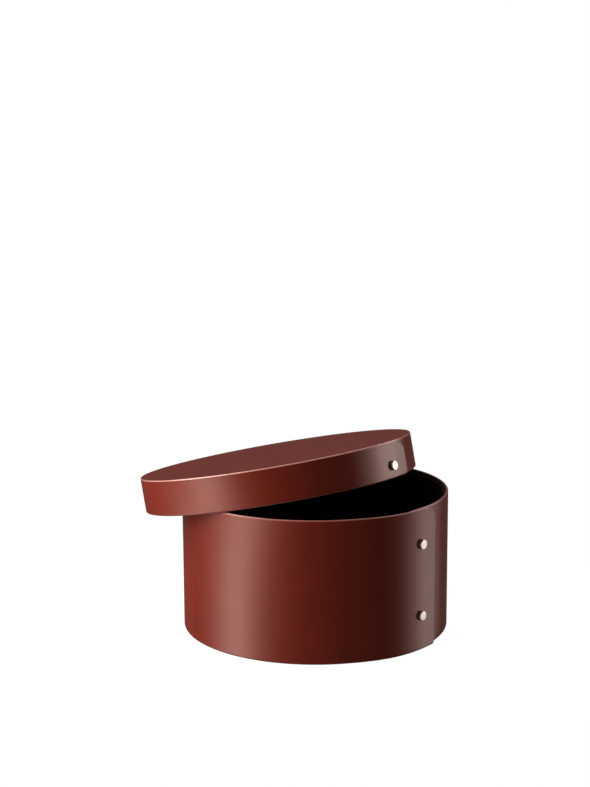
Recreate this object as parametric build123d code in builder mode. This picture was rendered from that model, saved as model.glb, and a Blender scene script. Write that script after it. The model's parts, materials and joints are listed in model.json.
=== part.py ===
from build123d import *
import math
import os

# A round leather box and its riveted lid, with the lid lying askew on the rim.
# Millimetres and degrees. The origin is the middle of the foot, +Z is up, and azimuths are counted
# from +X towards +Y, so the box is looked at from -Y and its laps are front right.

# Hoop of the box, wound once from one strip
box_radius = 120.0
box_height = 125.0
box_tail_azimuth = -33.1

# The strip, the same for the box and the lid
strip_thickness = 2.5
strip_edge_round = 0.7
lap_overlap = 40.0
lap_rise_run = 56.0
lap_glue_line = 0.15
tail_corner_radius = 14.0
tail_foot_radius = 3.0

# Boards, linings and the lid's leather top
board_thickness = 3.5
board_fit = 0.1
lining_thickness = 1.2
lining_set_down = 3.0
lining_seam = 0.3
lining_edge_round = 0.4
cover_thickness = 1.0
cover_edge_round = 0.6
glue_line = 0.05

# Brass rivets and their caps
rivet_head_radius = 4.25
rivet_head_height = 2.6
rivet_head_round = 0.5
rivet_shank_radius = 1.6
rivet_hole_clearance = 0.05
rivet_seat_gap = 0.03
cap_radius = 4.25
cap_thickness = 1.0
cap_round = 0.3
cap_socket_share = 0.55
upper_rivet_drop = 30.5
lower_rivet_rise = 31.0
rivet_setback = 21.0

# Fit of the closed lid over the box
lid_side_clearance = 0.3
skirt_to_rivet_clearance = 0.3
lid_tail_azimuth = -27.2
lid_rivet_rise = 11.0
lid_rivet_setback = 24.0

# How the lid lies: slid towards its low side and tilted down there, its skirt across the rim
lean_azimuth = 142.7
lean_tilt = 11.9
lean_slide = 38.9
rest_gap = 0.4

cut_overrun = 1.0

# The lid's hoop clears the raised layer of the box's lap, and its skirt ends just above the upper rivet
box_raised_radius = box_radius + lap_glue_line + strip_thickness
lid_inner_radius = box_raised_radius + lid_side_clearance
lid_radius = lid_inner_radius + strip_thickness
skirt_depth = upper_rivet_drop - rivet_head_radius - skirt_to_rivet_clearance
lid_band_height = skirt_depth + lining_thickness + glue_line + board_thickness

box_inner_radius = box_radius - strip_thickness
lining_outer_radius = box_inner_radius - glue_line
lining_inner_radius = lining_outer_radius - lining_thickness
lining_foot = board_thickness + glue_line + lining_thickness + glue_line
lining_head = box_height - lining_set_down

box_plane = Plane.XY


def resting_lid_plane():
    """Plane of the skirt's lower edge, with its origin on the lid's axis, for the lid at rest.

    The skirt crosses the rim at two places, the same angle each side of the low side. There the
    lower edge's inside line passes over the rim's outside line, which sets the lid's height. Both
    edges are rounded, so their lines lie deeper than the surfaces that meet at half a right angle.
    """
    tilt = math.radians(lean_tilt)
    low_side = math.radians(lean_azimuth)
    a = -((lid_inner_radius * math.sin(tilt)) ** 2)
    b = 2 * lean_slide * lid_inner_radius * math.cos(tilt)
    c = lean_slide**2 + lid_inner_radius**2 - box_radius**2
    crossing_cosine = -2 * c / (b + math.sqrt(b**2 - 4 * a * c))
    rounds_draw_back = 2 * strip_edge_round * (math.sqrt(2) - 1)
    lift = (rest_gap - rounds_draw_back) * math.sqrt(2)
    height = box_height + lift + lid_inner_radius * crossing_cosine * math.sin(tilt)
    middle = (lean_slide * math.cos(low_side), lean_slide * math.sin(low_side), height)
    normal = Vector(
        math.sin(tilt) * math.cos(low_side), math.sin(tilt) * math.sin(low_side), math.cos(tilt)
    )
    return Plane(origin=middle, x_dir=Axis.X.direction - normal * normal.X, z_dir=normal)


lid_plane = resting_lid_plane()


def polar(radius, azimuth):
    """Point at a radius and an azimuth."""
    return (radius * math.cos(math.radians(azimuth)), radius * math.sin(math.radians(azimuth)))


def along(azimuth):
    """Direction along a hoop at an azimuth, the way the strip is wound."""
    return (-math.sin(math.radians(azimuth)), math.cos(math.radians(azimuth)))


def degrees_of(arc_length, radius):
    """Angle that a length along a circle takes."""
    return math.degrees(arc_length / radius)


def reach(edge, plane):
    """Distance of an edge's middle from the plane's axis."""
    middle = plane.to_local_coords(edge.center())
    return math.hypot(middle.X, middle.Y)


def rise(edge, plane):
    """Height of an edge's middle above the plane."""
    return plane.to_local_coords(edge.center()).Z


def wound_strip(plane, radius, height, tail):
    """One strip wound once into a hoop, its tail lapped over its hidden end and its edges rounded.

    radius is outside the single layer, and tail is the azimuth where the upper layer ends. The
    upper layer rises before the hidden end and lies on it from there.
    """
    inside = radius - strip_thickness
    raised = radius + lap_glue_line + strip_thickness
    raised_inside = radius + lap_glue_line
    full_end = tail - degrees_of(lap_overlap, radius)
    rise_start = full_end - degrees_of(lap_rise_run, radius)
    turning = Axis(plane.origin, plane.z_dir)
    with BuildPart() as strip:
        with BuildSketch(plane):
            with BuildLine():
                for low, high in ((radius, raised), (inside, raised_inside)):
                    CenterArc((0, 0), low, full_end, 360 + rise_start - full_end)
                    Spline(
                        polar(low, rise_start),
                        polar(high, full_end),
                        tangents=[along(rise_start), along(full_end)],
                    )
                    CenterArc((0, 0), high, full_end, tail - full_end)
                Line(polar(inside, full_end), polar(radius, full_end))
                Line(polar(raised_inside, tail), polar(raised, tail))
            make_face()
        extrude(amount=height)
        short_edges = strip.edges().filter_by(GeomType.LINE).filter_by(turning, reverse=True)
        tail_edges = sorted(short_edges, key=lambda edge: reach(edge, plane))[-2:]
        tail_foot, tail_head = sorted(tail_edges, key=lambda edge: rise(edge, plane))
        fillet(tail_head, tail_corner_radius)
        fillet(tail_foot, tail_foot_radius)
        flat_faces = strip.faces().filter_by(turning).sort_by(turning)
        fillet(flat_faces[0].edges() + flat_faces[-1].edges(), strip_edge_round)
    return strip.part


def across(hoop, azimuth, height):
    """Plane through a hoop's axis with its normal pointing out along a rivet."""
    out = hoop.x_dir * math.cos(math.radians(azimuth)) + hoop.y_dir * math.sin(math.radians(azimuth))
    return Plane(origin=hoop.origin + hoop.z_dir * height, x_dir=hoop.z_dir, z_dir=out)


def radial_hole(hoop, azimuth, height, radius, start, end):
    """A plug along a rivet's line, to be cut away, between two distances from the hoop's axis."""
    with BuildPart() as hole:
        with BuildSketch(across(hoop, azimuth, height).offset(start)):
            Circle(radius)
        extrude(amount=end - start)
    return hole.part


def ring_round(hoop, height, inner, outer):
    """A ring about a hoop's axis, tall enough for a rivet at this height."""
    half = max(rivet_head_radius, cap_radius) + cut_overrun
    with BuildPart() as ring:
        with BuildSketch(hoop.offset(height - half)):
            Circle(outer)
            Circle(inner, mode=Mode.SUBTRACT)
        extrude(amount=2 * half)
    return ring.part


def rivet(hoop, azimuth, height, seat, shank_end):
    """Head and shank in one; the head's underside follows the strip, whose outside radius is seat."""
    with BuildPart() as stud:
        with BuildSketch(across(hoop, azimuth, height).offset(seat - cut_overrun)):
            Circle(rivet_head_radius)
        extrude(amount=cut_overrun + rivet_head_height)
        line = across(hoop, azimuth, height)
        face = stud.faces().sort_by(Axis(line.origin, line.z_dir))[-1]
        fillet(face.edges(), rivet_head_round)
        with BuildSketch(hoop.offset(height - rivet_head_radius - cut_overrun)):
            Circle(seat + rivet_seat_gap)
        extrude(amount=2 * (rivet_head_radius + cut_overrun), mode=Mode.SUBTRACT)
        with BuildSketch(line.offset(shank_end)):
            Circle(rivet_shank_radius)
        extrude(amount=seat + rivet_head_height / 2 - shank_end)
    return stud.part


def rivet_cap(hoop, azimuth, height, front, back):
    """Cap that closes a rivet: curved like the hoop, front nearest its axis, with a socket behind."""
    socket = cap_thickness * cap_socket_share
    line = across(hoop, azimuth, height)
    with BuildPart() as cap:
        with BuildSketch(line.offset(front - cut_overrun)):
            Circle(cap_radius)
        extrude(amount=back - front + 2 * cut_overrun)
        add(ring_round(hoop, height, front, back), mode=Mode.INTERSECT)
        fillet(cap.edges().sort_by(Axis(line.origin, line.z_dir))[0], cap_round)
        with BuildSketch(line.offset(back - socket)):
            Circle(rivet_shank_radius + rivet_hole_clearance)
        extrude(amount=socket + cut_overrun, mode=Mode.SUBTRACT)
    return cap.part


def keep(piece, name):
    """Names a finished piece and writes it."""
    piece.label = name
    export_step(piece, f"parts/{name}.step")


os.makedirs("parts", exist_ok=True)

# Places of the box's rivets, on the line a set distance before the tail
box_rivet_azimuth = box_tail_azimuth - degrees_of(rivet_setback, box_raised_radius)
box_rivet_heights = {"upper": box_height - upper_rivet_drop, "lower": lower_rivet_rise}
box_cap_back = lining_inner_radius - rivet_seat_gap
box_cap_front = box_cap_back - cap_thickness
box_shank_end = box_cap_back - cap_thickness * cap_socket_share + rivet_seat_gap
shank_hole_radius = rivet_shank_radius + rivet_hole_clearance

with BuildPart() as box_wall:
    add(wound_strip(box_plane, box_radius, box_height, box_tail_azimuth))
    for height in box_rivet_heights.values():
        add(
            radial_hole(
                box_plane,
                box_rivet_azimuth,
                height,
                shank_hole_radius,
                box_inner_radius - cut_overrun,
                box_raised_radius + cut_overrun,
            ),
            mode=Mode.SUBTRACT,
        )
keep(box_wall.part, "box_wall")

with BuildPart() as base_board:
    with BuildSketch(box_plane):
        Circle(box_inner_radius - board_fit)
    extrude(amount=board_thickness)
keep(base_board.part, "base_board")

with BuildPart() as floor_lining:
    with BuildSketch(box_plane.offset(board_thickness + glue_line)):
        Circle(box_inner_radius - board_fit)
    extrude(amount=lining_thickness)
keep(floor_lining.part, "floor_lining")

# The wall's lining starts and ends at a butt seam behind the lap's full end
seam_start = box_tail_azimuth - degrees_of(lap_overlap, box_radius)
seam_turn = 360 - degrees_of(lining_seam, lining_outer_radius)
with BuildPart() as wall_lining:
    with BuildSketch(box_plane.offset(lining_foot)):
        with BuildLine():
            CenterArc((0, 0), lining_outer_radius, seam_start, seam_turn)
            CenterArc((0, 0), lining_inner_radius, seam_start, seam_turn)
            for end in (seam_start, seam_start + seam_turn):
                Line(polar(lining_inner_radius, end), polar(lining_outer_radius, end))
        make_face()
    extrude(amount=lining_head - lining_foot)
    fillet(wall_lining.faces().sort_by(Axis.Z)[-1].edges(), lining_edge_round)
    for height in box_rivet_heights.values():
        add(
            radial_hole(
                box_plane,
                box_rivet_azimuth,
                height,
                shank_hole_radius,
                lining_inner_radius - cut_overrun,
                lining_outer_radius + cut_overrun,
            ),
            mode=Mode.SUBTRACT,
        )
keep(wall_lining.part, "wall_lining")

for place, height in box_rivet_heights.items():
    stud = rivet(box_plane, box_rivet_azimuth, height, box_raised_radius, box_shank_end)
    keep(stud, f"{place}_rivet")
    cap = rivet_cap(box_plane, box_rivet_azimuth, height, box_cap_front, box_cap_back)
    keep(cap, f"{place}_rivet_cap")

# The lid, built on the plane of its skirt's lower edge
lid_raised_radius = lid_radius + lap_glue_line + strip_thickness
lid_rivet_azimuth = lid_tail_azimuth - degrees_of(lid_rivet_setback, lid_raised_radius)
lid_cap_back = lid_inner_radius + cap_thickness
lid_shank_end = lid_cap_back - cap_thickness * cap_socket_share + rivet_seat_gap

# The band's upper edge is trimmed square, so that the cover lies on it without a groove
with BuildPart() as lid_band:
    add(wound_strip(lid_plane, lid_radius, lid_band_height + strip_edge_round, lid_tail_azimuth))
    split(bisect_by=lid_plane.offset(lid_band_height), keep=Keep.BOTTOM)
    for radius, start, end in (
        (shank_hole_radius, lid_inner_radius, lid_raised_radius + cut_overrun),
        (cap_radius + rivet_hole_clearance, lid_inner_radius - cut_overrun, lid_cap_back + rivet_seat_gap),
    ):
        add(
            radial_hole(lid_plane, lid_rivet_azimuth, lid_rivet_rise, radius, start, end),
            mode=Mode.SUBTRACT,
        )
keep(lid_band.part, "lid_band")

with BuildPart() as lid_board:
    with BuildSketch(lid_plane.offset(lid_band_height - board_thickness)):
        Circle(lid_inner_radius - board_fit)
    extrude(amount=board_thickness)
keep(lid_board.part, "lid_board")

with BuildPart() as lid_cover:
    with BuildSketch(lid_plane.offset(lid_band_height + glue_line)):
        Circle(lid_radius)
    extrude(amount=cover_thickness)
    top = lid_cover.faces().sort_by(Axis(lid_plane.origin, lid_plane.z_dir))[-1]
    fillet(top.edges(), cover_edge_round)
keep(lid_cover.part, "lid_cover")

with BuildPart() as lid_lining:
    with BuildSketch(lid_plane.offset(skirt_depth)):
        Circle(lid_inner_radius - board_fit)
    extrude(amount=lining_thickness)
keep(lid_lining.part, "lid_lining")

lid_stud = rivet(lid_plane, lid_rivet_azimuth, lid_rivet_rise, lid_raised_radius, lid_shank_end)
keep(lid_stud, "lid_rivet")
lid_cap = rivet_cap(lid_plane, lid_rivet_azimuth, lid_rivet_rise, lid_inner_radius, lid_cap_back)
keep(lid_cap, "lid_rivet_cap")
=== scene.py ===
"""Looks of a round collar box in oxblood leather, with its riveted lid lying askew on the rim.

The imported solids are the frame. Every piece that shows is a denser one made here, in its solid's place:
strips wound and lapped as the real ones are, turned rivets, cut discs and linings. The object's sizes are
in millimetres and become metres where a mesh is made. The studio's are in metres. Azimuths are counted
from +X towards +Y.
"""

import json
import logging
import math
from dataclasses import dataclass, field
from enum import Enum
from typing import Any, Callable, Sequence

import bpy
from bpy.types import Material, Node, NodeSocket, NodeTree, Object
from mathutils import Matrix, Vector

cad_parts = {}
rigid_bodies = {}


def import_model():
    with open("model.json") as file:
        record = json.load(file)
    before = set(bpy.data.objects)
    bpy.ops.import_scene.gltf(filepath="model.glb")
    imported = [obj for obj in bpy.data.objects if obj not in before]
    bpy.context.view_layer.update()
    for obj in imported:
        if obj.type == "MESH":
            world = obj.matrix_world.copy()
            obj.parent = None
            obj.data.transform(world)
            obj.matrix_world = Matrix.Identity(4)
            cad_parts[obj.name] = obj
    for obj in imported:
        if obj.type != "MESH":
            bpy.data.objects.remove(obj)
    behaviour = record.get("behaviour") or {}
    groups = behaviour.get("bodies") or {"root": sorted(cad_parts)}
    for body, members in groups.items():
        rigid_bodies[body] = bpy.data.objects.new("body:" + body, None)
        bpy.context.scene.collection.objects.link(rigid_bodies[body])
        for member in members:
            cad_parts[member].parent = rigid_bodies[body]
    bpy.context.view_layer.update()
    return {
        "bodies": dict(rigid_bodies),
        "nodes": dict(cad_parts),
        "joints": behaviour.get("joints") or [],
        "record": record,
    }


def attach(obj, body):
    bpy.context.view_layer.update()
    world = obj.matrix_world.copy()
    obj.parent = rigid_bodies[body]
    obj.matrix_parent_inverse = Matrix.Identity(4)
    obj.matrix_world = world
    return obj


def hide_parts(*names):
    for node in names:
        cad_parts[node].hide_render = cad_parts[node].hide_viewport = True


LOG = logging.getLogger("collar_box")
MM = 0.001
WHITE = (1.0, 1.0, 1.0, 1.0)

# Steps round a strip's corner, at its hidden end and at its tail
HIDDEN_TURNS = 10
TAIL_TURNS = 18

# A disc's rings of points: one part way out, and one this many edge rounds in from the rim
MIDDLE_RING = 0.5
MARGIN_RING = 2.2
DISC_ROUND_TURNS = 5

# Share of a disc's edge round that counts as cut edge, which the leather paints pale: partly rubbing, partly
# painted highlight
CUT_SHARE = 0.9

# Radians that Blender's ring pattern turns through in one unit of length, at a scale of one
WAVE_RADIANS = 20

# Polygons whose normals rise more than this are the lid board's upper face
UPWARD = 0.7

# Gives a point's place, in millimetres, from three measures that each use states
Placing = Callable[[float, float, float], Vector]


class Body(Enum):
    """The bodies of the frame that pieces ride on."""

    BOX = "box"
    LID = "lid"


class Slot(Enum):
    """The record's material slots; each disc carries one, which nothing reads."""

    LEATHER = "leather"
    LINING = "lining"
    BRASS = "brass"


def linear(code: str) -> tuple[float, float, float, float]:
    """Turns an sRGB hex colour to linear light.

    Args:
        code: colour as "#rrggbb".

    Returns:
        Red, green, blue and an alpha of one.
    """
    parts = [int(code[place : place + 2], 16) / 255 for place in (1, 3, 5)]
    red, green, blue = (p / 12.92 if p <= 0.04045 else ((p + 0.055) / 1.055) ** 2.4 for p in parts)
    return red, green, blue, 1.0


def add_node(tree: NodeTree, kind: str, sockets: dict[int | str, Any], **settings: Any) -> Node:
    """Adds one node with its settings, constant sockets and links.

    Inputs go by number where their names repeat. A Mix node's share is 0, its two numbers are 2 and 3,
    its two colours 6 and 7, and the mixed colour is its output 2.

    Args:
        tree: the node tree to add to.
        kind: Blender's identifier of the node.
        sockets: input name or number, to a constant or to the output socket linked into it.
        **settings: attributes of the node.

    Returns:
        The new node.
    """
    node = tree.nodes.new(kind)
    for name, value in settings.items():
        setattr(node, name, value)
    for key, value in sockets.items():
        if isinstance(value, NodeSocket):
            tree.links.new(value, node.inputs[key])
        else:
            node.inputs[key].default_value = value
    return node


def new_material(name: str) -> tuple[Material, NodeTree]:
    """Makes an empty node material.

    Args:
        name: the material's name.

    Returns:
        The material and its cleared node tree.
    """
    material = bpy.data.materials.new(name)
    material.use_nodes = True
    material.node_tree.nodes.clear()
    return material, material.node_tree


@dataclass(frozen=True)
class OxbloodLeather:
    """Vegetable-tanned strap leather, aniline dyed oxblood, plated smooth and waxed.

    The eye gets a deep, even red-brown with a satin shine, slow clouds in the dye, a tight grain that
    only breaks up the edge of a reflection, and cut edges polished with gum. The cut edges' paler colour
    is partly rubbing and partly a painted highlight, for the light lines along the rims and edges.
    The real grain and pores are about 0.3 mm apart. They are drawn as coarse as they need to show.
    """

    dye: str = "#812c1e"
    deep_dye: str = "#7a2a1d"
    pore: str = "#6d2418"
    # Pale cut-edge colour: partly rubbed leather, partly a painted highlight along rims and edges
    rubbed_edge_and_highlight: str = "#d7998c"
    wax: str = "#ffdacd"
    cloud_mm: float = 38.0
    cloud_detail: float = 3.0
    cloud_range: tuple[float, float] = (0.35, 0.65)
    grain_mm: float = 1.1
    grain_detail: float = 2.0
    grain_range: tuple[float, float] = (0.3, 0.7)
    grain_depth_mm: float = 0.012
    pore_mm: float = 0.8
    pore_reach: float = 0.35
    pore_strength: float = 0.35
    pore_relief: float = 0.6
    roughness: float = 0.22
    roughness_swing: float = 0.04
    edge_roughness: float = 0.18
    gum_roughness: float = 0.15
    ior: float = 1.55

    def make(self) -> Material:
        """Builds the leather, whose edges follow the meshes' "cut_edge" values.

        Returns:
            The node material.
        """
        material, tree = new_material("oxblood_leather_waxed")
        place = add_node(tree, "ShaderNodeTexCoord", {}).outputs["Object"]
        edge = add_node(tree, "ShaderNodeAttribute", {}, attribute_name="cut_edge").outputs["Fac"]
        slow = {"Vector": place, "Scale": 1 / (self.cloud_mm * MM), "Detail": self.cloud_detail}
        clouds = add_node(tree, "ShaderNodeTexNoise", slow).outputs["Fac"]
        tight = {"Vector": place, "Scale": 1 / (self.grain_mm * MM), "Detail": self.grain_detail}
        grain = add_node(tree, "ShaderNodeTexNoise", tight).outputs["Fac"]
        dots = {"Vector": place, "Scale": 1 / (self.pore_mm * MM)}
        pores = add_node(tree, "ShaderNodeTexVoronoi", dots, feature="F1").outputs["Distance"]

        low, high = self.cloud_range
        spread = {"Value": clouds, "From Min": low, "From Max": high}
        cloud_share = add_node(tree, "ShaderNodeMapRange", spread).outputs["Result"]
        spread = {"Value": pores, "From Max": self.pore_reach, "To Min": self.pore_strength, "To Max": 0.0}
        pore_share = add_node(tree, "ShaderNodeMapRange", spread).outputs["Result"]
        colour: Any = linear(self.deep_dye)
        # The last layer paints the cut edges pale: partly rubbing, partly painted highlight
        for share, code in ((cloud_share, self.dye), (pore_share, self.pore), (edge, self.rubbed_edge_and_highlight)):
            layer = {0: share, 6: colour, 7: linear(code)}
            colour = add_node(tree, "ShaderNodeMix", layer, data_type="RGBA").outputs[2]

        low, high = self.grain_range
        smooth, rough = self.roughness - self.roughness_swing / 2, self.roughness + self.roughness_swing / 2
        spread = {"Value": grain, "From Min": low, "From Max": high, "To Min": smooth, "To Max": rough}
        satin = add_node(tree, "ShaderNodeMapRange", spread).outputs["Result"]
        polished = add_node(tree, "ShaderNodeMix", {0: edge, 2: satin, 3: self.edge_roughness})
        dented = {0: pores, 1: self.pore_relief, 2: grain}
        relief = add_node(tree, "ShaderNodeMath", dented, operation="MULTIPLY_ADD").outputs[0]
        raised = {"Height": relief, "Distance": self.grain_depth_mm * MM}
        bump = add_node(tree, "ShaderNodeBump", raised)
        shader = add_node(
            tree,
            "ShaderNodeBsdfPrincipled",
            {
                "Base Color": colour,
                "Roughness": polished.outputs[0],
                "Normal": bump.outputs["Normal"],
                "Specular Tint": linear(self.wax),
                "IOR": self.ior,
                "Coat Weight": edge,
                "Coat Roughness": self.gum_roughness,
            },
        )
        add_node(tree, "ShaderNodeOutputMaterial", {"Surface": shader.outputs["BSDF"]})
        return material


@dataclass(frozen=True)
class LeatherFlesh:
    """Inside face of the strap leather, dyed through and sanded.

    The eye gets a dark, dry red-brown with short fibres and no shine. The real fibres are about 0.2 mm
    across. They are drawn as coarse as they need to show.
    """

    dye: str = "#3d1513"
    fibre: str = "#55211c"
    fibre_mm: float = 1.4
    fibre_detail: float = 4.0
    fibre_curl: float = 1.5
    fibre_depth_mm: float = 0.08
    roughness: float = 0.85
    ior: float = 1.45

    def make(self) -> Material:
        """Builds the material's nodes.

        Returns:
            The node material.
        """
        material, tree = new_material("leather_flesh_sanded")
        place = add_node(tree, "ShaderNodeTexCoord", {}).outputs["Object"]
        fuzz = {"Scale": 1 / (self.fibre_mm * MM), "Detail": self.fibre_detail, "Distortion": self.fibre_curl}
        fibres = add_node(tree, "ShaderNodeTexNoise", {"Vector": place, **fuzz}).outputs["Fac"]
        layer = {0: fibres, 6: linear(self.dye), 7: linear(self.fibre)}
        colour = add_node(tree, "ShaderNodeMix", layer, data_type="RGBA")
        bump = add_node(tree, "ShaderNodeBump", {"Height": fibres, "Distance": self.fibre_depth_mm * MM})
        shader = add_node(
            tree,
            "ShaderNodeBsdfPrincipled",
            {
                "Base Color": colour.outputs[2],
                "Normal": bump.outputs["Normal"],
                "Roughness": self.roughness,
                "IOR": self.ior,
            },
        )
        add_node(tree, "ShaderNodeOutputMaterial", {"Surface": shader.outputs["BSDF"]})
        return material


@dataclass(frozen=True)
class NappedLining:
    """Goat suede, brushed, near black with a hint of wine; the near-black colour is partly painted shade for
    the dark inside of the box.

    The eye gets almost no light back, only a soft nap that is paler where it is brushed up. The real
    nap is finer than 0.2 mm. It is drawn as coarse as it needs to show.
    """

    # Near-black dye: partly the suede's own colour, partly painted shade for the box's dark inside
    dye: str = "#3a2622"
    brushed: str = "#523a35"
    nap_mm: float = 0.9
    nap_detail: float = 4.0
    nap_depth_mm: float = 0.12
    nap_strength: float = 0.6
    patch_mm: float = 26.0
    patch_detail: float = 2.0
    roughness: float = 0.95
    sheen: float = 0.06
    ior: float = 1.4

    def make(self) -> Material:
        """Builds the material's nodes.

        Returns:
            The node material.
        """
        material, tree = new_material("goat_suede_brushed_painted_shade")
        place = add_node(tree, "ShaderNodeTexCoord", {}).outputs["Object"]
        fine = {"Vector": place, "Scale": 1 / (self.nap_mm * MM), "Detail": self.nap_detail}
        nap = add_node(tree, "ShaderNodeTexNoise", fine).outputs["Fac"]
        wide = {"Vector": place, "Scale": 1 / (self.patch_mm * MM), "Detail": self.patch_detail}
        patches = add_node(tree, "ShaderNodeTexNoise", wide).outputs["Fac"]
        share = add_node(tree, "ShaderNodeMath", {0: nap, 1: patches}, operation="MULTIPLY").outputs[0]
        layer = {0: share, 6: linear(self.dye), 7: linear(self.brushed)}
        colour = add_node(tree, "ShaderNodeMix", layer, data_type="RGBA")
        raised = {"Height": nap, "Distance": self.nap_depth_mm * MM, "Strength": self.nap_strength}
        bump = add_node(tree, "ShaderNodeBump", raised)
        shader = add_node(
            tree,
            "ShaderNodeBsdfPrincipled",
            {
                "Base Color": colour.outputs[2],
                "Normal": bump.outputs["Normal"],
                "Roughness": self.roughness,
                "Sheen Weight": self.sheen,
                "IOR": self.ior,
            },
        )
        add_node(tree, "ShaderNodeOutputMaterial", {"Surface": shader.outputs["BSDF"]})
        return material


@dataclass(frozen=True)
class PressedBoard:
    """Bookbinder's grey board, pressed from paper pulp.

    The eye gets a flat warm grey with darker flecks.
    """

    pulp: str = "#8d8273"
    fleck: str = "#5e5549"
    fleck_mm: float = 1.8
    fleck_detail: float = 5.0
    roughness: float = 0.9

    def make(self) -> Material:
        """Builds the material's nodes.

        Returns:
            The node material.
        """
        material, tree = new_material("greyboard_pressed")
        place = add_node(tree, "ShaderNodeTexCoord", {}).outputs["Object"]
        flecked = {"Vector": place, "Scale": 1 / (self.fleck_mm * MM), "Detail": self.fleck_detail}
        flecks = add_node(tree, "ShaderNodeTexNoise", flecked).outputs["Fac"]
        layer = {0: flecks, 6: linear(self.fleck), 7: linear(self.pulp)}
        colour = add_node(tree, "ShaderNodeMix", layer, data_type="RGBA").outputs[2]
        dull = {"Base Color": colour, "Roughness": self.roughness}
        shader = add_node(tree, "ShaderNodeBsdfPrincipled", dull)
        add_node(tree, "ShaderNodeOutputMaterial", {"Surface": shader.outputs["BSDF"]})
        return material


@dataclass(frozen=True)
class TurnedBrass:
    """Pale brass, turned and polished, unlacquered.

    The eye gets a warm, nearly white flash off the flat face, with faint rings from the tool. The real
    rings are about 0.1 mm apart. They are drawn as coarse as they need to show.
    """

    metal: str = "#ece1d6"
    tarnish: str = "#e4d8cc"
    tarnish_mm: float = 3.0
    tarnish_detail: float = 3.0
    ring_mm: float = 2.199
    ring_depth_mm: float = 0.002
    roughness: float = 0.4

    def make(self) -> Material:
        """Builds the brass, whose rings run round the Z axis of each turned piece.

        Returns:
            The node material.
        """
        material, tree = new_material("pale_brass_turned")
        place = add_node(tree, "ShaderNodeTexCoord", {}).outputs["Object"]
        clouded = {"Vector": place, "Scale": 1 / (self.tarnish_mm * MM), "Detail": self.tarnish_detail}
        patches = add_node(tree, "ShaderNodeTexNoise", clouded).outputs["Fac"]
        layer = {0: patches, 6: linear(self.metal), 7: linear(self.tarnish)}
        colour = add_node(tree, "ShaderNodeMix", layer, data_type="RGBA")
        flat = add_node(tree, "ShaderNodeVectorMath", {0: place, 1: (1.0, 1.0, 0.0)}, operation="MULTIPLY")
        axial = {"Vector": flat.outputs[0], "Scale": 2 * math.pi / (self.ring_mm * MM * WAVE_RADIANS)}
        rings = add_node(tree, "ShaderNodeTexWave", axial, wave_type="RINGS", rings_direction="SPHERICAL")
        grooved = {"Height": rings.outputs["Fac"], "Distance": self.ring_depth_mm * MM}
        bump = add_node(tree, "ShaderNodeBump", grooved)
        shader = add_node(
            tree,
            "ShaderNodeBsdfPrincipled",
            {
                "Base Color": colour.outputs[2],
                "Normal": bump.outputs["Normal"],
                "Roughness": self.roughness,
                "Metallic": 1.0,
            },
        )
        add_node(tree, "ShaderNodeOutputMaterial", {"Surface": shader.outputs["BSDF"]})
        return material


@dataclass(frozen=True)
class Finishes:
    """The finished materials, one of each."""

    leather: Material
    flesh: Material
    lining: Material
    board: Material
    brass: Material


def make_finishes() -> Finishes:
    """Returns the object's materials."""
    return Finishes(
        leather=OxbloodLeather().make(),
        flesh=LeatherFlesh().make(),
        lining=NappedLining().make(),
        board=PressedBoard().make(),
        brass=TurnedBrass().make(),
    )


@dataclass(frozen=True)
class Sheet:
    """Points in millimetres, faces, how much of each point is cut edge, and which faces are inside."""

    points: list[Vector]
    faces: list[tuple[int, ...]]
    edge: list[float]
    inside_faces: range = range(0)


def lay(
    name: str,
    sheet: Sheet,
    finishes: Sequence[Material],
    body: Body,
    place: Matrix | None = None,
) -> Object:
    """Turns a sheet into a piece that rides on a body.

    Args:
        name: the piece's name.
        sheet: its points and faces.
        finishes: the material of the outside, and that of the inside faces if it differs.
        body: the body that it rides on.
        place: where the piece stands, in metres, if its points aren't in place already.

    Returns:
        The new object.
    """
    mesh = bpy.data.meshes.new(name)
    mesh.from_pydata([point * MM for point in sheet.points], [], sheet.faces)
    for finish in finishes:
        mesh.materials.append(finish)
    for polygon in mesh.polygons:
        polygon.use_smooth = True
    for number in sheet.inside_faces:
        mesh.polygons[number].material_index = len(finishes) - 1
    attribute = mesh.attributes.new("cut_edge", "FLOAT", "POINT")
    attribute.data.foreach_set("value", sheet.edge)
    mesh.validate()
    piece = bpy.data.objects.new(name, mesh)
    bpy.context.scene.collection.objects.link(piece)
    if place is not None:
        piece.matrix_world = place
    piece.modifiers.new("even_normals", "WEIGHTED_NORMAL").keep_sharp = True
    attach(piece, body.value)
    LOG.info("%s: %d faces, rides on %s", name, len(sheet.faces), body.value)
    return piece


@dataclass(frozen=True)
class Strap:
    """The strap leather that both hoops are wound from, in millimetres.

    Its edges are rubbed rounder than the solids' edges are, as the light on them shows. Corners are
    given by their length and depth. The hidden end's dips gently, so that the rim thickens gently
    there, and the tail's is an oval. The last stretch of the tail, past the rivets, springs straight.
    """

    thickness: float = 2.5
    edge_round: float = 1.2
    tail_round: float = 0.6
    overlap: float = 40.0
    rise_run: float = 56.0
    glue_line: float = 0.15
    head_corner: tuple[float, float] = (16.0, 10.0)
    foot_corner: tuple[float, float] = (3.0, 3.0)
    hidden_corner: tuple[float, float] = (24.0, 3.0)
    tail_flat: float = 11.0
    margin: float = 0.8
    step: float = 2.4


@dataclass(frozen=True)
class HoopPlace:
    """Where a hoop stands: the middle of its lower edge, and its three directions."""

    origin: Vector
    x_dir: Vector
    y_dir: Vector
    up: Vector

    def out(self, azimuth: float) -> Vector:
        """Returns the direction out from the axis at an azimuth in degrees."""
        turn = math.radians(azimuth)
        return self.x_dir * math.cos(turn) + self.y_dir * math.sin(turn)

    def at(self, azimuth: float, radius: float, height: float) -> Vector:
        """Returns the point at an azimuth in degrees, a radius and a height."""
        return self.origin + self.out(azimuth) * radius + self.up * height


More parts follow.
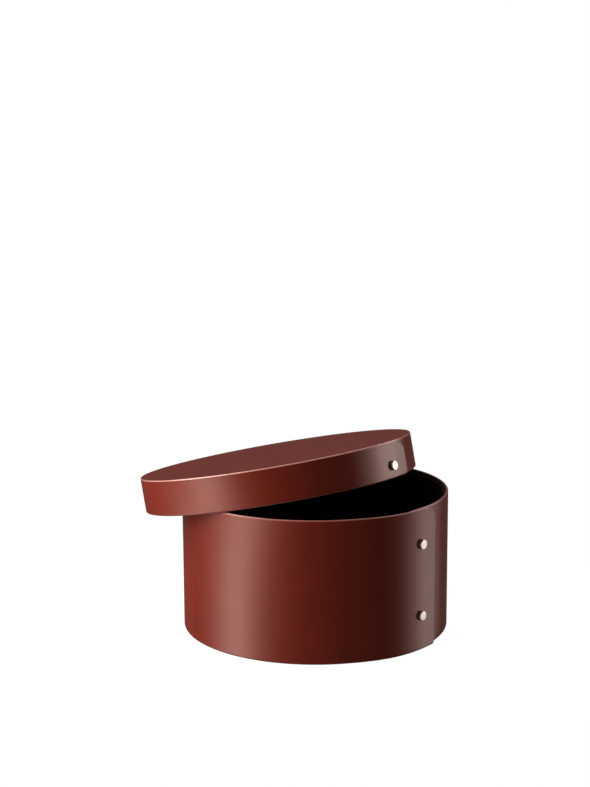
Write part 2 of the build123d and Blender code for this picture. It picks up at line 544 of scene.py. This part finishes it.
def oval_corner(corner: tuple[float, float], turn: float) -> tuple[float, float, float, float]:
    """Gives a point of an oval corner.

    Args:
        corner: its length and depth.
        turn: angle of the point, from 0 where the oval leaves the strip's end to a right angle where
            it meets the edge line.

    Returns:
        How far in from the end and how deep below the edge line the point is, and its outward
        direction, ahead and down.
    """
    length, depth = corner
    ahead, above = depth * math.cos(turn), length * math.sin(turn)
    reach = math.hypot(ahead, above)
    return length * (1 - math.cos(turn)), depth * (1 - math.sin(turn)), ahead / reach, -above / reach


def edge_run(
    length: float, start: tuple[float, float], end: tuple[float, float], step: float
) -> list[tuple[float, float, float, float]]:
    """Walks along one long edge of a strip, round the corners at its two ends.

    Args:
        length: of the strip.
        start: length and depth of the corner at the start.
        end: length and depth of the corner at the end.
        step: between points on the straight stretch, about.

    Returns:
        For each point its place along, its depth below the edge line, and its outward direction there.
    """
    run = []
    for number in range(HIDDEN_TURNS):
        inward, deep, ahead, down = oval_corner(start, math.pi / 2 * number / HIDDEN_TURNS)
        run.append((inward, deep, -ahead, down))
    straight = length - start[0] - end[0]
    steps = round(length / step)
    for number in range(steps + 1):
        run.append((start[0] + straight * number / steps, 0.0, 0.0, -1.0))
    for number in range(1, TAIL_TURNS + 1):
        inward, deep, ahead, down = oval_corner(end, math.pi / 2 * (1 - number / TAIL_TURNS))
        run.append((length - inward, deep, ahead, down))
    return run


@dataclass(frozen=True)
class StripCut:
    """A flat strip cut to size, with rounded corners and rounded edges, before it is bent.

    Its margin is the row of faces between the edge's round and the flat of the face. The cut edge is
    painted palest at the tail's end, where its share is 1: partly rubbing, partly a painted highlight
    along the tail's edge.
    """

    length: float
    height: float
    thickness: float
    foot_round: float
    head_round: float
    tail_round: float
    head_corner: tuple[float, float]
    foot_corner: tuple[float, float]
    hidden_corner: tuple[float, float]
    margin: float
    step: float
    rows: int
    # How pale the long cut edges are painted: partly rubbing, partly painted highlight
    edge_wear_and_highlight: float = 0.55
    round_turns: int = 4

    def tail_share(self, to_end: int) -> float:
        """Returns how far round the tail's corner a column is, from the columns left to its end."""
        return max(1 - to_end / TAIL_TURNS, 0.0)

    def pale_edge_at(self, to_end: int) -> float:
        """Returns how pale the cut edge is painted, for rubbing and painted highlight, from the columns left
        to the tail's end.
        """
        share = self.tail_share(to_end)
        return self.edge_wear_and_highlight * (1 - share) + share

    def round_at(self, across: float, to_end: int) -> float:
        """Gives the rounding of the cut edge.

        Args:
            across: place across the strip, from the foot at 0 to the head at 1.
            to_end: columns left to the tail's end, whose own rounding is reached round the corner.

        Returns:
            The edge's radius, in millimetres.
        """
        share = self.tail_share(to_end)
        side = self.foot_round * (1 - across) + self.head_round * across
        return side * (1 - share) + self.tail_round * share

    def bent(self, place: Placing) -> Sheet:
        """Meshes the strip and bends it.

        Args:
            place: gives a point's place from how far along, how high and how far out it is.

        Returns:
            The closed sheet, with its inside faces and how much of each point is cut edge.
        """
        head = edge_run(self.length, self.hidden_corner, self.head_corner, self.step)
        foot = edge_run(self.length, self.foot_corner, self.foot_corner, self.step)
        last = len(head) - 1
        points: list[Vector] = []
        edge: list[float] = []
        faces: list[tuple[int, ...]] = []

        def spot(column: int, row: int, inset: float, out: float) -> Vector:
            """Gives the place of a point on the bent strip.

            Args:
                column: its number along the strip.
                row: its number up the strip.
                inset: how far in from the cut edge its column and row are drawn.
                out: its distance from the inside face.

            Returns:
                The point, in millimetres.
            """
            share = row / self.rows
            along_head, deep_head, out_head, down_head = head[column]
            along_foot, deep_foot, out_foot, down_foot = foot[column]
            along = (along_head - out_head * inset) * share + (along_foot - out_foot * inset) * (1 - share)
            top = self.height - (deep_head - down_head * inset)
            bottom = deep_foot - down_foot * inset
            return place(along, top * share + bottom * (1 - share), out)

        def face_grid(out: float) -> list[list[int]]:
            """Adds the points of the inside or outside face.

            Args:
                out: the face's distance from the inside face.

            Returns:
                The points' numbers, by column and row.
            """
            grid = []
            for column in range(last + 1):
                grid.append(list(range(len(points), len(points) + self.rows + 1)))
                for row in range(self.rows + 1):
                    inset = self.round_at(row / self.rows, last - column) + self.margin
                    points.append(spot(column, row, inset, out))
                edge.extend([0.0] * (self.rows + 1))
            return grid

        border = (
            [(column, self.rows) for column in range(last + 1)]
            + [(last, row) for row in range(self.rows - 1, 0, -1)]
            + [(column, 0) for column in range(last, -1, -1)]
            + [(0, row) for row in range(1, self.rows)]
        )
        outside = face_grid(self.thickness)
        for a, b in zip(outside, outside[1:]):
            faces.extend((a[row], b[row], b[row + 1], a[row + 1]) for row in range(self.rows))
        inside = face_grid(0.0)
        inside_start = len(faces)
        for a, b in zip(inside, inside[1:]):
            faces.extend((a[row], a[row + 1], b[row + 1], b[row]) for row in range(self.rows))
        inside_end = len(faces)

        turns = [math.pi / 2 * number / self.round_turns for number in range(self.round_turns + 1)]
        stack = [(turn, False) for turn in reversed(turns)] + [(turn, True) for turn in turns]
        rings = [[inside[column][row] for column, row in border]]
        for turn, outer in stack:
            rings.append(list(range(len(points), len(points) + len(border))))
            for column, row in border:
                size = self.round_at(row / self.rows, last - column)
                deep = size * (1 - math.sin(turn))
                out = self.thickness - deep if outer else deep
                points.append(spot(column, row, size * (1 - math.cos(turn)), out))
                # Cut-edge share, which the leather paints pale: partly rubbing, partly painted highlight
                edge.append(self.pale_edge_at(last - column) * math.cos(turn))
        rings.append([outside[column][row] for column, row in border])
        for lower, upper in zip(rings, rings[1:]):
            for number, _ in enumerate(border):
                after = (number + 1) % len(border)
                faces.append((lower[number], upper[number], upper[after], lower[after]))
        return Sheet(points, faces, edge, range(inside_start, inside_end))


@dataclass(frozen=True)
class WoundStrip:
    """A strap wound once into a hoop, its tail lapped over its hidden end."""

    name: str
    node: str
    body: Body
    place: HoopPlace
    radius: float
    height: float
    tail: float
    head_round: float
    rows: int
    strap: Strap

    def once_round(self) -> float:
        """Returns the length of one turn."""
        return 2 * math.pi * self.radius

    def degrees(self, length: float) -> float:
        """Returns the angle that a length along the hoop takes."""
        return math.degrees(length / self.radius)

    def bend(self, along: float, high: float, out: float) -> Vector:
        """Returns where a point of the flat strap lies once it is wound.

        The tail rises over the hidden end on a soft S, and its last stretch leaves the circle straight.

        Args:
            along: from the hidden end.
            high: above the lower edge.
            out: from the inside face.

        Returns:
            The point, in millimetres.
        """
        strap = self.strap
        past = along - self.once_round()
        share = min(max((past + strap.rise_run) / strap.rise_run, 0.0), 1.0)
        lift = (strap.thickness + strap.glue_line) * share * share * (3 - 2 * share)
        straight = max(past - strap.overlap + strap.tail_flat, 0.0)
        azimuth = self.tail - self.degrees(strap.overlap) + self.degrees(along - straight)
        bent = self.place.at(azimuth, self.radius - strap.thickness + lift + out, high)
        return bent + self.place.out(azimuth + 90) * straight

    def build(self, finishes: Finishes) -> None:
        """Makes the hoop in place of its solid.

        Args:
            finishes: the materials.
        """
        strap = self.strap
        cut = StripCut(
            length=self.once_round() + strap.overlap,
            height=self.height,
            thickness=strap.thickness,
            foot_round=strap.edge_round,
            head_round=self.head_round,
            tail_round=strap.tail_round,
            head_corner=strap.head_corner,
            foot_corner=strap.foot_corner,
            hidden_corner=strap.hidden_corner,
            margin=strap.margin,
            step=strap.step,
            rows=self.rows,
        )
        sheet = cut.bent(self.bend)
        piece = lay(self.name, sheet, (finishes.leather, finishes.flesh), self.body)
        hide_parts(self.node)


def spot_on_axis(turn: float, radius: float, high: float) -> Vector:
    """Returns the point at a turn in degrees, a radius and a height about the Z axis."""
    return Vector((radius * math.cos(math.radians(turn)), radius * math.sin(math.radians(turn)), high))


def turned(
    profile: Sequence[tuple[float, float]], turns: int, place: Placing, rim: float = math.inf
) -> Sheet:
    """Turns a profile round an axis.

    Args:
        profile: radius and height of each point, from the axis above round to the axis below.
        turns: number of steps round.
        place: gives a point's place from its azimuth, radius and height.
        rim: radius beyond which the surface is cut edge.

    Returns:
        The closed sheet.
    """
    points: list[Vector] = []
    edge: list[float] = []
    faces: list[tuple[int, ...]] = []
    rings: list[list[int]] = []
    for radius, height in profile:
        count = 1 if radius == 0 else turns
        rings.append(list(range(len(points), len(points) + count)))
        points.extend(place(360 * number / turns, radius, height) for number in range(count))
        edge.extend([float(radius > rim)] * count)
    for above, below in zip(rings, rings[1:]):
        for number in range(turns):
            after = (number + 1) % turns
            order = ((above, number), (below, number), (below, after), (above, after))
            corners = (ring[step % len(ring)] for ring, step in order)
            faces.append(tuple(dict.fromkeys(corners)))
    return Sheet(points, faces, edge)


def rounded_disc(
    radius: float, low: float, high: float, upper: float, lower: float
) -> list[tuple[float, float]]:
    """Draws the profile of a disc with rounded edges.

    Args:
        radius: of the disc.
        low: height of its lower face.
        high: height of its upper face.
        upper: radius of the upper edge's round.
        lower: radius of the lower edge's round.

    Returns:
        The profile, from the axis above to the axis below.
    """
    turns = [math.pi / 2 * number / DISC_ROUND_TURNS for number in range(DISC_ROUND_TURNS + 1)]
    profile = [(0.0, high), (radius * MIDDLE_RING, high), (radius - upper * MARGIN_RING, high)]
    for turn in turns:
        profile.append((radius - upper * (1 - math.sin(turn)), high - upper * (1 - math.cos(turn))))
    for turn in turns:
        profile.append((radius - lower * (1 - math.cos(turn)), low + lower * (1 - math.sin(turn))))
    return profile + [(radius - lower * MARGIN_RING, low), (radius * MIDDLE_RING, low), (0.0, low)]


@dataclass(frozen=True)
class Disc:
    """A disc cut from leather, board or lining, with softened edges."""

    name: str
    node: str
    body: Body
    slot: Slot
    place: HoopPlace
    radius: float
    low: float
    high: float
    upper_round: float
    lower_round: float
    turns: int = 288

    def build(self, finish: Material) -> None:
        """Makes the disc in place of its solid.

        Args:
            finish: its material.
        """
        profile = rounded_disc(self.radius, self.low, self.high, self.upper_round, self.lower_round)
        rim = self.radius - max(self.upper_round, self.lower_round) * CUT_SHARE
        # The cut edge beyond rim is painted pale by the leather: partly rubbing, partly painted highlight
        sheet = turned(profile, self.turns, self.place.at, rim)
        piece = lay(self.name, sheet, (finish,), self.body)
        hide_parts(self.node)


@dataclass(frozen=True)
class RivetSizes:
    """Sizes of the brass rivets and of the caps that close them, in millimetres.

    The crown is the dome on a head's face: it is full in the middle, and a share of it is left at a
    share of the head's radius.
    """

    head_radius: float = 4.25
    head_height: float = 2.6
    head_round: float = 0.45
    head_round_turns: int = 6
    crown: float = 0.06
    crown_shoulder: float = 0.5
    crown_left: float = 0.75
    foot_bevel: float = 0.2
    seat_sink: float = 0.08
    seat_gap: float = 0.03
    shank_radius: float = 1.6
    cap_radius: float = 4.25
    cap_thickness: float = 1.0
    cap_round: float = 0.3
    cap_back_round: float = 0.05
    cap_socket_share: float = 0.55
    turns: int = 72


def radial_place(hoop: HoopPlace, azimuth: float, height: float, start: float) -> Matrix:
    """Gives the frame of a rivet, its Z pointing out from the hoop's axis.

    Args:
        hoop: the hoop that it goes through.
        azimuth: in degrees.
        height: above the hoop's lower edge.
        start: distance of its origin from the axis, in millimetres.

    Returns:
        The matrix, in metres.
    """
    out = hoop.out(azimuth)
    side = hoop.up.cross(out)
    turn = Matrix((hoop.up, side, out)).transposed().to_4x4()
    return Matrix.Translation(hoop.at(azimuth, start, height) * MM) @ turn


@dataclass(frozen=True)
class Rivet:
    """A turned brass rivet through a lap, with the cap that closes it inside."""

    name: str
    body: Body
    hoop: HoopPlace
    azimuth: float
    height: float
    seat: float
    cap_front: float
    sizes: RivetSizes

    def stand(self, node: str, profile: Sequence[tuple[float, float]], start: float, brass: Material) -> None:
        """Turns a profile and stands it on the rivet's line, in place of its solid.

        Args:
            node: the solid's name.
            profile: radius and height from the origin.
            start: distance of the origin from the hoop's axis.
            brass: its material.
        """
        sheet = turned(profile, self.sizes.turns, spot_on_axis)
        place = radial_place(self.hoop, self.azimuth, self.height, start)
        piece = lay(f"{node}_turned", sheet, (brass,), self.body, place)
        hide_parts(node)

    def head_profile(self) -> list[tuple[float, float]]:
        """Draws the head and the shank.

        Returns:
            Their profile, from the crown to the shank's end.
        """
        s = self.sizes
        depth = self.seat - self.cap_front - s.cap_thickness * (1 - s.cap_socket_share) - s.seat_gap
        profile = [
            (0.0, s.head_height + s.crown),
            (s.head_radius * s.crown_shoulder, s.head_height + s.crown * s.crown_left),
        ]
        for number in range(s.head_round_turns + 1):
            turn = math.pi / 2 * number / s.head_round_turns
            inward, down = s.head_round * (1 - math.sin(turn)), s.head_round * (1 - math.cos(turn))
            profile.append((s.head_radius - inward, s.head_height - down))
        profile += [(s.head_radius, s.foot_bevel), (s.head_radius - s.foot_bevel, -s.seat_sink)]
        profile += [(s.shank_radius, -s.seat_sink), (s.shank_radius, -depth), (0.0, -depth)]
        return profile

    def build(self, brass: Material) -> None:
        """Makes the rivet and its cap in place of their solids.

        Args:
            brass: their material.
        """
        s = self.sizes
        self.stand(self.name, self.head_profile(), self.seat, brass)
        cap = rounded_disc(s.cap_radius, -s.cap_thickness, 0.0, s.cap_back_round, s.cap_round)
        self.stand(f"{self.name}_cap", cap, self.cap_front + s.cap_thickness, brass)


def upper_face(node: Object) -> tuple[Vector, Vector]:
    """Finds the flat upper face of a disc in the frame.

    Args:
        node: the disc's object.

    Returns:
        The face's middle in millimetres, and its normal.
    """
    normal, middle, area = Vector(), Vector(), 0.0
    for polygon in node.data.polygons:
        if polygon.normal.z > UPWARD:
            normal += polygon.normal * polygon.area
            middle += polygon.center * polygon.area
            area += polygon.area
    return middle / area / MM, normal.normalized()


@dataclass
class Box:
    """The box: its wall, bottom, linings and two rivets, in millimetres and degrees."""

    finishes: Finishes
    radius: float = 120.0
    height: float = 125.0
    tail: float = -33.1
    wall_rows: int = 26
    rivet_setback: float = 21.0
    upper_rivet_drop: float = 30.5
    lower_rivet_rise: float = 31.0
    cap_gap: float = 0.03
    board_thickness: float = 3.5
    board_fit: float = 0.1
    board_round: float = 0.4
    lining_thickness: float = 1.2
    lining_set_down: float = 3.0
    lining_round: float = 0.4
    lining_back_round: float = 0.1
    lining_corner: tuple[float, float] = (0.5, 0.5)
    lining_margin: float = 0.6
    lining_seam: float = 0.3
    lining_step: float = 3.0
    lining_rows: int = 12
    glue: float = 0.05
    strap: Strap = Strap()
    rivet: RivetSizes = RivetSizes()
    place: HoopPlace = field(init=False)
    inner: float = field(init=False)
    raised: float = field(init=False)

    def __post_init__(self) -> None:
        """Stands the hoop on the floor, at the frame's origin."""
        self.place = HoopPlace(Vector(), Vector((1, 0, 0)), Vector((0, 1, 0)), Vector((0, 0, 1)))
        self.inner = self.radius - self.strap.thickness
        self.raised = self.radius + self.strap.glue_line + self.strap.thickness

    def wall(self) -> None:
        """Winds the wall."""
        WoundStrip(
            name="box_wall_strap",
            node="box_wall",
            body=Body.BOX,
            place=self.place,
            radius=self.radius,
            height=self.height,
            tail=self.tail,
            head_round=self.strap.edge_round,
            rows=self.wall_rows,
            strap=self.strap,
        ).build(self.finishes)

    def bottom(self) -> None:
        """Lays the bottom disc and the lining on it."""
        Disc(
            name="base_board_covered",
            node="base_board",
            body=Body.BOX,
            slot=Slot.LEATHER,
            place=self.place,
            radius=self.inner - self.board_fit,
            low=0.0,
            high=self.board_thickness,
            upper_round=self.board_round,
            lower_round=self.board_round,
        ).build(self.finishes.leather)
        Disc(
            name="floor_lining_suede",
            node="floor_lining",
            body=Body.BOX,
            slot=Slot.LINING,
            place=self.place,
            radius=self.inner - self.board_fit,
            low=self.board_thickness + self.glue,
            high=self.board_thickness + self.glue + self.lining_thickness,
            upper_round=self.lining_round,
            lower_round=self.lining_back_round,
        ).build(self.finishes.lining)

    def wall_lining(self) -> None:
        """Bends the wall's lining into a ring with a butt seam behind the lap."""
        outer = self.inner - self.glue
        low = self.board_thickness + self.lining_thickness + 2 * self.glue
        start = self.tail - math.degrees(self.strap.overlap / self.radius)

        def bend(along: float, high: float, out: float) -> Vector:
            """Returns a point's place on the ring, from how far along, how high and how far out it is."""
            azimuth = start + math.degrees(along / outer)
            return self.place.at(azimuth, outer - self.lining_thickness + out, low + high)

        cut = StripCut(
            length=2 * math.pi * outer - self.lining_seam,
            height=self.height - self.lining_set_down - low,
            thickness=self.lining_thickness,
            foot_round=self.lining_back_round,
            head_round=self.lining_round,
            tail_round=self.lining_round,
            head_corner=self.lining_corner,
            foot_corner=self.lining_corner,
            hidden_corner=self.lining_corner,
            margin=self.lining_margin,
            step=self.lining_step,
            rows=self.lining_rows,
        )
        piece = lay("wall_lining_suede", cut.bent(bend), (self.finishes.lining,), Body.BOX)
        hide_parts("wall_lining")

    def rivets(self) -> None:
        """Sets the two rivets in the lap, with their caps on the lining."""
        cap_back = self.inner - self.glue - self.lining_thickness - self.cap_gap
        heights = {"upper_rivet": self.height - self.upper_rivet_drop, "lower_rivet": self.lower_rivet_rise}
        for name, height in heights.items():
            Rivet(
                name=name,
                body=Body.BOX,
                hoop=self.place,
                azimuth=self.tail - math.degrees(self.rivet_setback / self.raised),
                height=height,
                seat=self.raised,
                cap_front=cap_back - self.rivet.cap_thickness,
                sizes=self.rivet,
            ).build(self.finishes.brass)

    def build(self) -> None:
        """Makes all the box's pieces."""
        self.wall()
        self.bottom()
        self.wall_lining()
        self.rivets()
        LOG.info("box built")


@dataclass
class Lid:
    """The lid: its band, cover, board, lining and rivet, on the frame's tilted plane.

    Its sizes are in millimetres and degrees. The cover's edge is rubbed rounder than the solid's. The
    band's head has only a hairline of a round, because the cover lies on it.
    """

    finishes: Finishes
    frame: dict[str, Any]
    box: Box
    side_clearance: float = 0.3
    rivet_clearance: float = 0.3
    tail: float = -27.2
    band_rows: int = 10
    band_head_round: float = 0.03
    rivet_rise: float = 11.0
    rivet_setback: float = 24.0
    cover_thickness: float = 1.0
    cover_round: float = 0.95
    cover_back_round: float = 0.02
    inner: float = field(init=False)
    radius: float = field(init=False)
    skirt: float = field(init=False)
    height: float = field(init=False)
    place: HoopPlace = field(init=False)

    def __post_init__(self) -> None:
        """Works out the lid's sizes from the box's, and finds its plane from its board in the frame."""
        box = self.box
        self.inner = box.raised + self.side_clearance
        self.radius = self.inner + box.strap.thickness
        self.skirt = box.upper_rivet_drop - box.rivet.head_radius - self.rivet_clearance
        self.height = self.skirt + box.lining_thickness + box.glue + box.board_thickness
        middle, up = upper_face(self.frame["nodes"]["lid_board"])
        x_dir = (Vector((1, 0, 0)) - up * up.x).normalized()
        self.place = HoopPlace(middle - up * self.height, x_dir, up.cross(x_dir), up)

    def band(self) -> None:
        """Winds the band."""
        WoundStrip(
            name="lid_band_strap",
            node="lid_band",
            body=Body.LID,
            place=self.place,
            radius=self.radius,
            height=self.height,
            tail=self.tail,
            head_round=self.band_head_round,
            rows=self.band_rows,
            strap=self.box.strap,
        ).build(self.finishes)

    def top(self) -> None:
        """Lays the cover over the band and board, and the lining under the board."""
        box = self.box
        Disc(
            name="lid_cover_leather",
            node="lid_cover",
            body=Body.LID,
            slot=Slot.LEATHER,
            place=self.place,
            radius=self.radius,
            low=self.height,
            high=self.height + box.glue + self.cover_thickness,
            upper_round=self.cover_round,
            lower_round=self.cover_back_round,
        ).build(self.finishes.leather)
        Disc(
            name="lid_lining_suede",
            node="lid_lining",
            body=Body.LID,
            slot=Slot.LINING,
            place=self.place,
            radius=self.inner - box.board_fit,
            low=self.skirt,
            high=self.skirt + box.lining_thickness,
            upper_round=box.lining_back_round,
            lower_round=box.lining_round,
        ).build(self.finishes.lining)

    def board(self) -> None:
        """Dresses the board's own solid, which the cover and the lining hide."""
        board = self.frame["nodes"]["lid_board"]
        board.data.materials.clear()
        board.data.materials.append(self.finishes.board)
        LOG.info("lid_board: its own solid, dressed")

    def set_rivet(self) -> None:
        """Sets the rivet in the lid's lap."""
        strap = self.box.strap
        raised = self.radius + strap.glue_line + strap.thickness
        Rivet(
            name="lid_rivet",
            body=Body.LID,
            hoop=self.place,
            azimuth=self.tail - math.degrees(self.rivet_setback / raised),
            height=self.rivet_rise,
            seat=raised,
            cap_front=self.inner,
            sizes=self.box.rivet,
        ).build(self.finishes.brass)

    def build(self) -> None:
        """Makes all the lid's pieces."""
        self.band()
        self.top()
        self.board()
        self.set_rivet()
        LOG.info("lid built")


@dataclass(frozen=True)
class SoftBox:
    """A studio light placed round the box: a long diffuser with its bulb some way behind it.

    Its radiance is that in front of the bulb, and it fades to both ends as the bulb's light does there,
    with the fourth power of the slant's cosine.
    """

    name: str
    azimuth: float
    elevation: float
    distance: float
    width: float
    height: float
    radiance: float
    bulb_behind: float
    bulb_aside: float = 0.0
    middle: float = 0.5
    fade_power: float = -2.0
    tint: str = "#fffbf8"

    def fade(self, tree: NodeTree) -> None:
        """Fades the lamp to its ends.

        Args:
            tree: the lamp's node tree.
        """
        tree.nodes.clear()
        across = add_node(tree, "ShaderNodeNewGeometry", {}).outputs["Parametric"]
        spot = add_node(tree, "ShaderNodeSeparateXYZ", {0: across}).outputs["X"]
        bulb = self.middle + self.bulb_aside / self.width
        centred = add_node(tree, "ShaderNodeMath", {0: spot, 1: bulb}, operation="SUBTRACT").outputs[0]
        share = self.width / self.bulb_behind
        slant = add_node(tree, "ShaderNodeMath", {0: centred, 1: share}, operation="MULTIPLY").outputs[0]
        square = add_node(tree, "ShaderNodeMath", {0: slant, 1: slant, 2: 1.0}, operation="MULTIPLY_ADD")
        faded = {0: square.outputs[0], 1: self.fade_power}
        strength = add_node(tree, "ShaderNodeMath", faded, operation="POWER").outputs[0]
        glow = add_node(tree, "ShaderNodeEmission", {"Strength": strength})
        add_node(tree, "ShaderNodeOutputLight", {"Surface": glow.outputs[0]})

    def hang(self, target: Vector) -> None:
        """Hangs the light and turns it to the object.

        Args:
            target: the point that it faces, in metres.
        """
        lamp = bpy.data.lights.new(self.name, "AREA")
        lamp.shape = "RECTANGLE"
        lamp.size = self.width
        lamp.size_y = self.height
        lamp.energy = self.radiance * math.pi * self.width * self.height
        lamp.color = linear(self.tint)[:3]
        lamp.use_nodes = True
        self.fade(lamp.node_tree)
        turn, rise = math.radians(self.azimuth), math.radians(self.elevation)
        away = Vector((math.cos(turn) * math.cos(rise), math.sin(turn) * math.cos(rise), math.sin(rise)))
        light = bpy.data.objects.new(self.name, lamp)
        light.location = target + away * self.distance
        light.rotation_euler = (-away).to_track_quat("-Z", "Y").to_euler()
        light.visible_camera = False
        bpy.context.scene.collection.objects.link(light)


def either(tree: NodeTree, one: NodeSocket, other: NodeSocket) -> NodeSocket:
    """Returns the socket with the larger of two values."""
    return add_node(tree, "ShaderNodeMath", {0: one, 1: other}, operation="MAXIMUM").outputs[0]


@dataclass
class Studio:
    """Floor, background, soft boxes and camera, in metres.

    The camera's place is in millimetres, in the object's frame. The lamps' figures follow the order of
    a soft box's fields, from its azimuth on. The top lamp is broad, because a small bright one bleaches
    the lid's top when that is seen from behind.
    """

    floor_radius: float = 0.32
    floor_turns: int = 96
    floor_gap: float = 0.0002
    floor_paint: str = "#6b6a69"
    floor_shown: float = 0.97
    ambient: float = 0.01
    background_in_gloss: float = 0.05
    target: Vector = field(default_factory=lambda: Vector((0.0, 0.0, 0.07)))
    camera_at: Vector = field(default_factory=lambda: Vector((-17.74, -1313.24, 441.22)))
    camera_pitch: float = -9.947
    camera_roll: float = -0.273
    camera_range: tuple[float, float] = (0.05, 20.0)
    lens: float = 68.125
    boxes: tuple[SoftBox, ...] = (
        SoftBox("key_low", -157.5, -20.2, 1.2, 2.6, 0.37, 4.0, 0.5),
        SoftBox("key_high", -146.5, -5, 1.3, 2.4, 0.28, 4.0, 0.62),
        SoftBox("top", -167, 35, 1.2, 1.3, 1.25, 6.5, 0.6),
        SoftBox("fill_low", 3.5, -16.3, 1.2, 1.74, 0.37, 1.9, 0.46, 0.1),
        SoftBox("fill_high", 3, 5.5, 1.3, 1.8, 0.3, 3.6, 0.78, 0.075),
        SoftBox("fill_top", 24, 28, 1.25, 1.0, 0.25, 4.5, 0.45),
        SoftBox("back_top", 68, 50, 0.6, 0.4, 0.3, 1.3, 0.6),
        SoftBox("back_left", 150, 42, 1.2, 0.6, 0.4, 3.0, 0.6),
    )

    def background(self) -> None:
        """Sets a white background for the camera and a dim room for the light.

        Gloss gets a small share of the white, because the leather is seen at a low angle and a full
        white room would bleach its satin.
        """
        world = bpy.data.worlds.new("pale_room")
        bpy.context.scene.world = world
        world.use_nodes = True
        tree = world.node_tree
        tree.nodes.clear()
        rays = add_node(tree, "ShaderNodeLightPath", {}).outputs
        seen = either(tree, rays["Is Camera Ray"], rays["Is Transmission Ray"])
        part = {0: rays["Is Glossy Ray"], 1: self.background_in_gloss}
        gloss = add_node(tree, "ShaderNodeMath", part, operation="MULTIPLY").outputs[0]
        dim = add_node(tree, "ShaderNodeBackground", {"Color": WHITE, "Strength": self.ambient})
        white = add_node(tree, "ShaderNodeBackground", {"Color": WHITE, "Strength": 1.0})
        pale = either(tree, seen, gloss)
        mix = add_node(tree, "ShaderNodeMixShader", {0: pale, 1: dim.outputs[0], 2: white.outputs[0]})
        add_node(tree, "ShaderNodeOutputWorld", {"Surface": mix.outputs[0]})

    def floor_finish(self) -> Material:
        """Makes the floor's pale paint.

        It lets gloss and lamplight through from below, so that the tall soft boxes are seen down to
        the foot of the wall, as on the photograph's table.

        Returns:
            The material.
        """
        material, tree = new_material("pale_floor_painted")
        rays = add_node(tree, "ShaderNodeLightPath", {}).outputs
        seen = either(tree, rays["Is Camera Ray"], rays["Is Transmission Ray"])
        under = add_node(tree, "ShaderNodeNewGeometry", {}).outputs["Backfacing"]
        passing = either(tree, either(tree, rays["Is Glossy Ray"], rays["Is Shadow Ray"]), under)
        paint = add_node(tree, "ShaderNodeBsdfDiffuse", {"Color": linear(self.floor_paint)})
        white = add_node(tree, "ShaderNodeEmission", {"Color": WHITE, "Strength": self.floor_shown})
        shown = add_node(tree, "ShaderNodeAddShader", {0: paint.outputs[0], 1: white.outputs[0]})
        floor = add_node(tree, "ShaderNodeMixShader", {0: seen, 1: paint.outputs[0], 2: shown.outputs[0]})
        clear = add_node(tree, "ShaderNodeBsdfTransparent", {})
        both = add_node(tree, "ShaderNodeMixShader", {0: passing, 1: floor.outputs[0], 2: clear.outputs[0]})
        add_node(tree, "ShaderNodeOutputMaterial", {"Surface": both.outputs[0]})
        return material

    def floor(self) -> None:
        """Lays a plain pale floor that keeps a faint shadow, a hair below the object's foot."""
        turns = self.floor_turns
        rim = [spot_on_axis(360 * number / turns, self.floor_radius, 0.0) for number in range(turns)]
        mesh = bpy.data.meshes.new("pale_floor")
        mesh.from_pydata(rim, [], [tuple(range(turns))])
        mesh.materials.append(self.floor_finish())
        plate = bpy.data.objects.new("pale_floor", mesh)
        plate.location.z = -self.floor_gap
        bpy.context.scene.collection.objects.link(plate)

    def camera(self) -> None:
        """Sets the camera where the photograph was taken from."""
        data = bpy.data.cameras.new("camera")
        data.lens = self.lens
        data.clip_start, data.clip_end = self.camera_range
        camera = bpy.data.objects.new("camera", data)
        bpy.context.scene.collection.objects.link(camera)
        pitch = Matrix.Rotation(math.radians(90 + self.camera_pitch), 4, "X")
        roll = Matrix.Rotation(math.radians(self.camera_roll), 4, "Z")
        camera.matrix_world = Matrix.Translation(self.camera_at * MM) @ pitch @ roll
        bpy.context.scene.camera = camera

    def build(self) -> None:
        """Sets up the whole studio."""
        bpy.context.scene.view_settings.view_transform = "Standard"
        self.camera()
        self.background()
        self.floor()
        for box in self.boxes:
            box.hang(self.target)
        LOG.info("studio set with %d soft boxes", len(self.boxes))


def main() -> None:
    """Builds the studio, the box and the lid round the frame."""
    logging.basicConfig(level=logging.INFO, format="%(name)s: %(message)s")
    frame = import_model()
    Studio().build()
    finishes = make_finishes()
    box = Box(finishes)
    box.build()
    Lid(finishes, frame, box).build()


if __name__ == "__main__":
    main()
